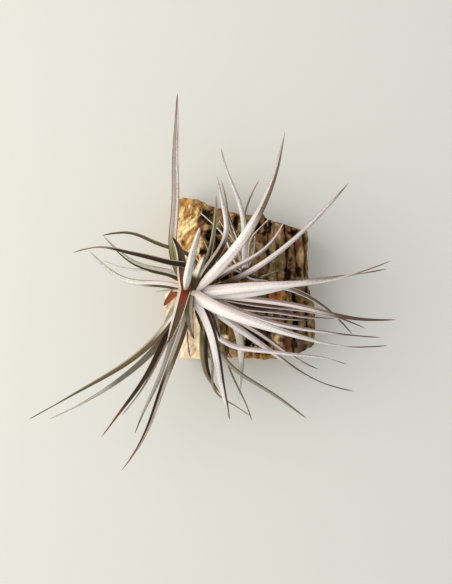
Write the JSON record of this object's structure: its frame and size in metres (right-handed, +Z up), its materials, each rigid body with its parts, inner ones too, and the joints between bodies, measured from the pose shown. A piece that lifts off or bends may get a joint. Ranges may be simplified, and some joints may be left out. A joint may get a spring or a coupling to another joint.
{
  "type": "air plant",
  "caption": "Silvery air plant with long arching channelled leaves round a leaning stem, and two small offsets, growing on a flat-bottomed chunk of bark.",
  "frame": {"origin": "on the flat underside of the bark block, under the plant", "axes": "+Z up from the underside, +Y towards the block's longer back left corner, +X to the right, where the long leaves spread over the block"},
  "size_m": [0.1512, 0.1493, 0.1082],
  "materials": {
    "bark": "rough broken bark, tan at one end and grey-olive at the other",
    "main_leaves": "matt silvery scales over olive brown, dark red at the leaf bases",
    "offset_leaves": "matt silvery green, brown at the tips"
  },
  "bodies": {
    "root": {"bark_block": "bark", "main_shoot": "main_leaves", "upper_offset": "offset_leaves", "lower_offset": "offset_leaves"}
  },
  "joints": []
}
